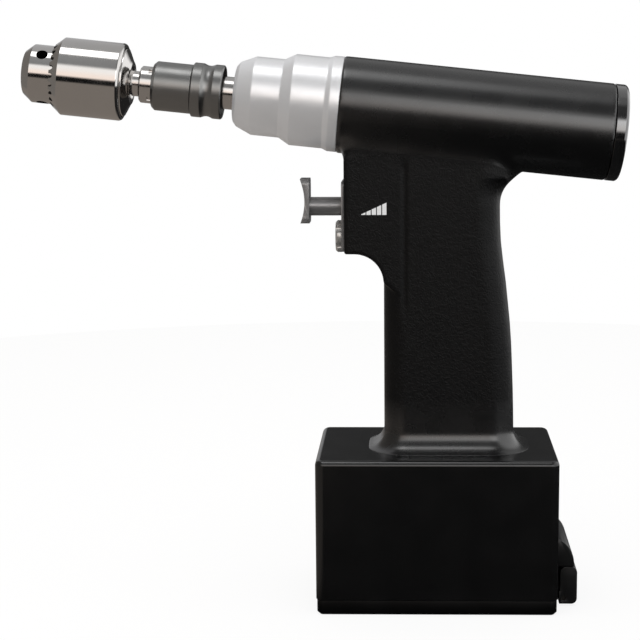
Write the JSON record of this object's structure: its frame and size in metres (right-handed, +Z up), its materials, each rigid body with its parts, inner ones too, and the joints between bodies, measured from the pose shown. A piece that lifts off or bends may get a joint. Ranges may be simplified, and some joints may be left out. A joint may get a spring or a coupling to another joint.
{
  "type": "surgical power drill",
  "caption": "Pistol-grip cordless surgical drill with a keyed jaw chuck on a quick coupling, a finger trigger, a mode knob and a battery box in the base.",
  "frame": {"origin": "centre of the flat base under the battery box", "axes": "+Z up, chuck towards -X, rear of the barrel towards +X, Y across the grip"},
  "size_m": [0.2506, 0.066, 0.2373],
  "materials": {
    "housing": "satin black coating, matt on the grip",
    "gloss_cap": "gloss black",
    "nose_aluminium": "satin bright",
    "chuck_steel": "polished stainless, turned",
    "coupling_steel": "satin dark grey",
    "bright_steel": "ground",
    "trigger_steel": "satin grey",
    "spring_steel": "bright wire",
    "rubber": "matt black",
    "bronze": "plain",
    "contact_brass": "bright",
    "copper_lead": "insulated wire",
    "latch_plastic": "satin black",
    "dark_plastic": "moulded",
    "board": "solder mask",
    "cell": "wrapped cell",
    "magnet": "plain"
  },
  "bodies": {
    "handpiece": {"handpiece_body": "housing", "nose_cone": "nose_aluminium", "nose_seal": "rubber", "rear_cap": "gloss_cap", "rear_cap_seal": "rubber", "ring_gear": "bright_steel", "bearing_outer_races": "bright_steel", "spindle_seal": "rubber", "motor_can": "bright_steel", "motor_magnets": "magnet", "motor_front_plate": "nose_aluminium", "motor_rear_plate": "nose_aluminium", "motor_bushes": "bronze", "trigger_plate": "trigger_steel", "trigger_bush": "bronze", "countersunk_screws": "bright_steel", "speed_switch": "dark_plastic", "control_board": "board", "power_transistors": "dark_plastic", "motor_leads": "copper_lead", "battery_case": "dark_plastic", "battery_cells": "cell", "contact_block": "dark_plastic", "contact_pins": "contact_brass", "hinge_pin": "bright_steel", "latch_catch": "latch_plastic", "trigger_spring": "spring_steel"},
    "spindle": {"output_spindle": "bright_steel", "bearing_inner_races": "bright_steel", "bearing_rollers": "bright_steel", "coupling_body": "coupling_steel", "coupling_pins": "bright_steel", "coupling_clip": "spring_steel", "chuck_shank": "chuck_steel", "chuck_body": "chuck_steel", "coupling_spring": "spring_steel"},
    "coupling_collar": {"coupling_collar": "coupling_steel"},
    "chuck_sleeve": {"chuck_sleeve": "chuck_steel", "chuck_nut": "bright_steel"},
    "jaw_1": {"jaw_1": "bright_steel"},
    "jaw_2": {"jaw_2": "bright_steel"},
    "jaw_3": {"jaw_3": "bright_steel"},
    "rotor": {"motor_rotor": "bright_steel", "motor_shaft": "bright_steel", "sun_gear": "bright_steel"},
    "planet_1": {"planet_gear_1": "bright_steel"},
    "planet_2": {"planet_gear_2": "bright_steel"},
    "planet_3": {"planet_gear_3": "bright_steel"},
    "trigger": {"trigger": "trigger_steel", "trigger_clip": "spring_steel"},
    "selector": {"selector_knob": "bright_steel"},
    "lid": {"battery_lid": "housing", "lid_gasket": "rubber", "latch_pin": "bright_steel"},
    "latch": {"latch_lever": "latch_plastic"}
  },
  "joints": [
    {"name": "spindle_spin", "type": "hinge", "parent": "handpiece", "child": "spindle", "pos_m": [-0.08968, 0, 0.21463], "axis": [-0.9945, 0, 0.1045], "continuous": true},
    {"name": "rotor_spin", "type": "hinge", "parent": "handpiece", "child": "rotor", "pos_m": [-0.00017, 0, 0.20522], "axis": [-0.9945, 0, 0.1045], "continuous": true},
    {"name": "collar_slide", "type": "slide", "parent": "spindle", "child": "coupling_collar", "axis": [0.9945, 0, -0.1045], "range_m": [0, 0.0035], "stiffness_N_per_m": 800, "springref_m": -0.003, "deforming": ["coupling_spring"]},
    {"name": "chuck_turn", "type": "hinge", "parent": "spindle", "child": "chuck_sleeve", "pos_m": [-0.14437, 0, 0.22038], "axis": [-0.9945, 0, 0.1045], "range_deg": [0, 2080]},
    {"name": "jaw_1_slide", "type": "slide", "parent": "spindle", "child": "jaw_1", "axis": [-0.9527, 0.2475, 0.1762], "range_m": [0, 0.0116]},
    {"name": "jaw_2_slide", "type": "slide", "parent": "spindle", "child": "jaw_2", "axis": [-0.9422, -0.1893, 0.2765], "range_m": [0, 0.0116]},
    {"name": "jaw_3_slide", "type": "slide", "parent": "spindle", "child": "jaw_3", "axis": [-0.987, -0.0582, -0.1498], "range_m": [0, 0.0116]},
    {"name": "planet_1_spin", "type": "hinge", "parent": "spindle", "child": "planet_1", "pos_m": [-0.04895, 0, 0.2194], "axis": [-0.9945, 0, 0.1045], "continuous": true},
    {"name": "planet_2_spin", "type": "hinge", "parent": "spindle", "child": "planet_2", "pos_m": [-0.05037, -0.00779, 0.20597], "axis": [-0.9945, 0, 0.1045], "continuous": true},
    {"name": "planet_3_spin", "type": "hinge", "parent": "spindle", "child": "planet_3", "pos_m": [-0.05037, 0.00779, 0.20597], "axis": [-0.9945, 0, 0.1045], "continuous": true},
    {"name": "trigger_pull", "type": "slide", "parent": "handpiece", "child": "trigger", "axis": [1, 0, 0], "range_m": [0, 0.009], "stiffness_N_per_m": 500, "springref_m": -0.004, "deforming": ["trigger_spring"]},
    {"name": "selector_turn", "type": "hinge", "parent": "handpiece", "child": "selector", "pos_m": [-0.0405, 0, 0.15465], "axis": [1, 0, 0], "range_deg": [-45, 45]},
    {"name": "lid_hinge", "type": "hinge", "parent": "handpiece", "child": "lid", "pos_m": [-0.04975, 0, 0.00635], "axis": [0, 1, 0], "range_deg": [0, 100]},
    {"name": "latch_flip", "type": "hinge", "parent": "lid", "child": "latch", "pos_m": [0.0534, 0, 0.0034], "axis": [0, 1, 0], "range_deg": [0, 75]}
  ],
  "couplings": [
    {"joint": "rotor_spin", "follows": "spindle_spin", "ratio": 4},
    {"joint": "jaw_1_slide", "follows": "chuck_turn", "m_per_rad": 0.00031831},
    {"joint": "jaw_2_slide", "follows": "chuck_turn", "m_per_rad": 0.00031831},
    {"joint": "jaw_3_slide", "follows": "chuck_turn", "m_per_rad": 0.00031831},
    {"joint": "planet_1_spin", "follows": "spindle_spin", "ratio": -3},
    {"joint": "planet_2_spin", "follows": "spindle_spin", "ratio": -3},
    {"joint": "planet_3_spin", "follows": "spindle_spin", "ratio": -3}
  ]
}
